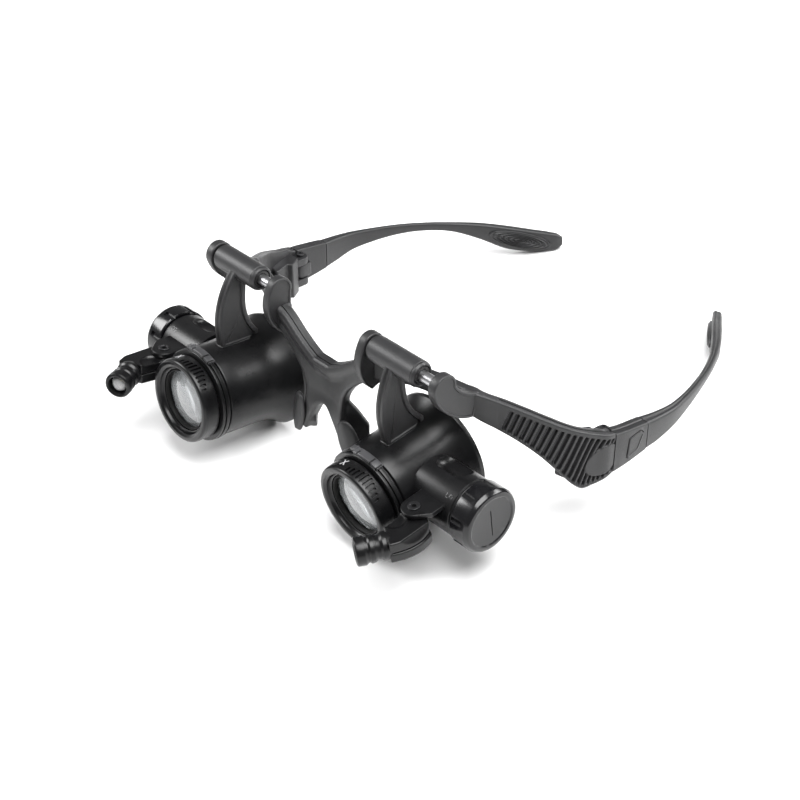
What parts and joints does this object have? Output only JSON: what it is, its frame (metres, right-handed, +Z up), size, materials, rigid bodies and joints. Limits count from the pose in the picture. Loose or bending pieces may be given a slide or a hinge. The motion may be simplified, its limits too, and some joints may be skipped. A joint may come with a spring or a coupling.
{
  "type": "binocular loupe glasses",
  "caption": "Spectacle-style head magnifier: two flip-up loupes on sliding pivots, side battery tubes, swinging LED lamps and folding temples.",
  "frame": {"origin": "middle of the small flat on top of the nose bridge, on the wearer's symmetry plane", "axes": "+X to the wearer's left, -Y the way the wearer looks (temples run back along +Y), +Z up"},
  "size_m": [0.1448, 0.1763, 0.0598],
  "materials": {
    "frame_black": "fine spark-eroded satin black ABS",
    "loupe_black": "satin black ABS",
    "cap_black": "semi-gloss black ABS",
    "pad_black": "soft matt black",
    "bush_black": "smooth black acetal",
    "pin_steel": "polished steel",
    "cell_steel": "bright nickel-plated steel",
    "lens_glass": "clear polished lens",
    "led_clear": "water-clear LED epoxy"
  },
  "bodies": {
    "frame": {"front_frame": "frame_black", "nose_pad_left": "pad_black", "pivot_pin_left": "pin_steel", "hinge_screw_left": "pin_steel", "nose_pad_right": "pad_black", "pivot_pin_right": "pin_steel", "hinge_screw_right": "pin_steel"},
    "temple_hinge_left": {"hinge_block_left": "frame_black"},
    "release_latch_left": {"release_latch_left": "frame_black"},
    "temple_left": {"temple_arm_left": "frame_black", "tip_pad_left": "pad_black"},
    "pivot_slider_left": {"pivot_bush_left": "bush_black"},
    "loupe_left": {"loupe_bracket_left": "frame_black", "barrel_left": "loupe_black", "battery_tube_left": "loupe_black", "battery_contact_left": "pin_steel", "button_cell_1_left": "cell_steel", "button_cell_2_left": "cell_steel", "button_cell_3_left": "cell_steel", "lamp_ear_left": "loupe_black", "lamp_rivet_left": "pin_steel"},
    "battery_cap_left": {"battery_cap_left": "cap_black", "battery_spring_left": "pin_steel"},
    "lens_collar_left": {"lens_collar_left": "loupe_black"},
    "lens_holder_left": {"lens_holder_left": "loupe_black", "lens_left": "lens_glass", "lens_retainer_left": "loupe_black"},
    "lamp_left": {"lamp_upper_shell_left": "loupe_black", "lamp_lower_shell_left": "loupe_black", "lamp_nose_left": "loupe_black", "led_bulb_left": "led_clear"},
    "temple_hinge_right": {"hinge_block_right": "frame_black"},
    "release_latch_right": {"release_latch_right": "frame_black"},
    "temple_right": {"temple_arm_right": "frame_black", "tip_pad_right": "pad_black"},
    "pivot_slider_right": {"pivot_bush_right": "bush_black"},
    "loupe_right": {"loupe_bracket_right": "frame_black", "barrel_right": "loupe_black", "battery_tube_right": "loupe_black", "battery_contact_right": "pin_steel", "button_cell_1_right": "cell_steel", "button_cell_2_right": "cell_steel", "button_cell_3_right": "cell_steel", "lamp_ear_right": "loupe_black", "lamp_rivet_right": "pin_steel"},
    "battery_cap_right": {"battery_cap_right": "cap_black", "battery_spring_right": "pin_steel"},
    "lens_collar_right": {"lens_collar_right": "loupe_black"},
    "lens_holder_right": {"lens_holder_right": "loupe_black", "lens_right": "lens_glass", "lens_retainer_right": "loupe_black"},
    "lamp_right": {"lamp_upper_shell_right": "loupe_black", "lamp_lower_shell_right": "loupe_black", "lamp_nose_right": "loupe_black", "led_bulb_right": "led_clear"}
  },
  "joints": [
    {"name": "pupil_slide_left", "type": "slide", "parent": "frame", "child": "pivot_slider_left", "axis": [1, 0, 0], "range_m": [0, 0.0055]},
    {"name": "loupe_flip_left", "type": "hinge", "parent": "pivot_slider_left", "child": "loupe_left", "pos_m": [0.03125, -0.0005, 0.0145], "axis": [1, 0, 0], "range_deg": [-100, 4]},
    {"name": "cap_turn_left", "type": "hinge", "parent": "loupe_left", "child": "battery_cap_left", "pos_m": [0.06125, 0.00231, -0.02124], "axis": [1, 0, 0], "range_deg": [0, 90]},
    {"name": "collar_turn_left", "type": "hinge", "parent": "loupe_left", "child": "lens_collar_left", "pos_m": [0.03125, -0.01084, -0.02474], "axis": [0, -0.991, -0.134], "range_deg": [-25, 25]},
    {"name": "holder_pull_left", "type": "slide", "parent": "loupe_left", "child": "lens_holder_left", "axis": [0, -0.991, -0.134], "range_m": [0, 0.005]},
    {"name": "lamp_swing_left", "type": "hinge", "parent": "loupe_left", "child": "lamp_left", "pos_m": [0.04975, -0.01091, -0.02273], "axis": [0, -0.134, 0.991], "range_deg": [-8, 35]},
    {"name": "temple_fold_left", "type": "hinge", "parent": "frame", "child": "temple_hinge_left", "pos_m": [0.0664, 0.0438, -0.015], "axis": [0, 0, 1], "range_deg": [0, 80]},
    {"name": "latch_press_left", "type": "slide", "parent": "temple_hinge_left", "child": "release_latch_left", "axis": [-1, 0, 0], "range_m": [0, 0.0005], "stiffness_N_per_m": 300},
    {"name": "temple_pull_left", "type": "slide", "parent": "temple_hinge_left", "child": "temple_left", "axis": [0, 1, 0], "range_m": [0, 0.005]},
    {"name": "pupil_slide_right", "type": "slide", "parent": "frame", "child": "pivot_slider_right", "axis": [1, 0, 0], "range_m": [0, 0.0055]},
    {"name": "loupe_flip_right", "type": "hinge", "parent": "pivot_slider_right", "child": "loupe_right", "pos_m": [-0.03695, -0.0005, 0.0145], "axis": [1, 0, 0], "range_deg": [-88, 16]},
    {"name": "cap_turn_right", "type": "hinge", "parent": "loupe_right", "child": "battery_cap_right", "pos_m": [-0.06695, -0.00536, -0.02102], "axis": [1, 0, 0], "range_deg": [0, 90]},
    {"name": "collar_turn_right", "type": "hinge", "parent": "loupe_right", "child": "lens_collar_right", "pos_m": [-0.03695, -0.01896, -0.02164], "axis": [0, -0.9968, 0.0802], "range_deg": [-25, 25]},
    {"name": "holder_pull_right", "type": "slide", "parent": "loupe_right", "child": "lens_holder_right", "axis": [0, -0.9968, 0.0802], "range_m": [0, 0.005]},
    {"name": "lamp_swing_right", "type": "hinge", "parent": "loupe_right", "child": "lamp_right", "pos_m": [-0.05545, -0.0186, -0.01966], "axis": [0, -0.0802, -0.9968], "range_deg": [-8, 35]},
    {"name": "temple_fold_right", "type": "hinge", "parent": "frame", "child": "temple_hinge_right", "pos_m": [-0.0664, 0.0438, -0.015], "axis": [0, 0, -1], "range_deg": [0, 66]},
    {"name": "latch_press_right", "type": "slide", "parent": "temple_hinge_right", "child": "release_latch_right", "axis": [1, 0, 0], "range_m": [0, 0.0005], "stiffness_N_per_m": 300},
    {"name": "temple_pull_right", "type": "slide", "parent": "temple_hinge_right", "child": "temple_right", "axis": [0, 1, 0], "range_m": [0, 0.005]}
  ]
}
